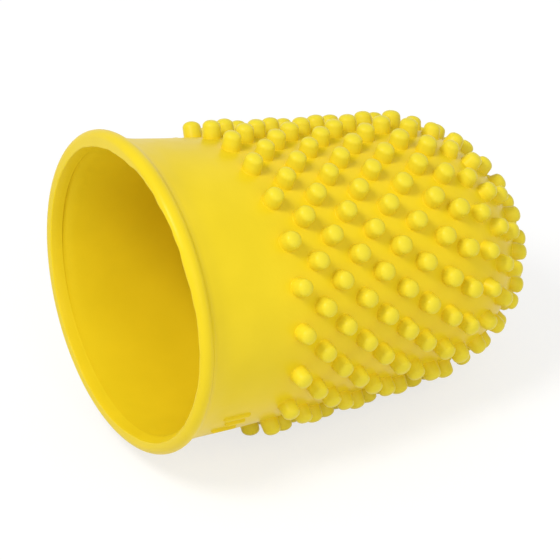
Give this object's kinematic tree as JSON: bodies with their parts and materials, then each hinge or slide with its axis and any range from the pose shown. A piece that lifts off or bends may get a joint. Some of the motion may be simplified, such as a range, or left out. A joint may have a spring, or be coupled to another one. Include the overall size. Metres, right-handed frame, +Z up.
{
  "type": "rubber fingertip",
  "caption": "Yellow moulded rubber fingertip: a tapered sleeve with a beaded open mouth, a smooth cuff, staggered rings of round nubs and a closed domed end, worn on a finger to turn paper.",
  "frame": {"origin": "centre of the bounding box in plan, at the height of the table that the fingertip lies on", "axes": "+Z up; the sleeve lies on its side with its mouth towards -X and its closed end towards +X; its axis leans down towards +X by 4.3 degrees, the lean at which the tapered barrel settles on its nubs; XZ is a plane of symmetry"},
  "size_m": [0.0278, 0.02, 0.0212],
  "materials": {
    "yellow_rubber": "satin moulded rubber"
  },
  "bodies": {
    "root": {"rim_bead": "yellow_rubber", "cuff_sleeve": "yellow_rubber", "nub_band_1": "yellow_rubber", "nub_band_2": "yellow_rubber", "nub_band_3": "yellow_rubber", "nub_band_4": "yellow_rubber", "nub_band_5": "yellow_rubber", "tip_cap": "yellow_rubber"}
  },
  "joints": []
}
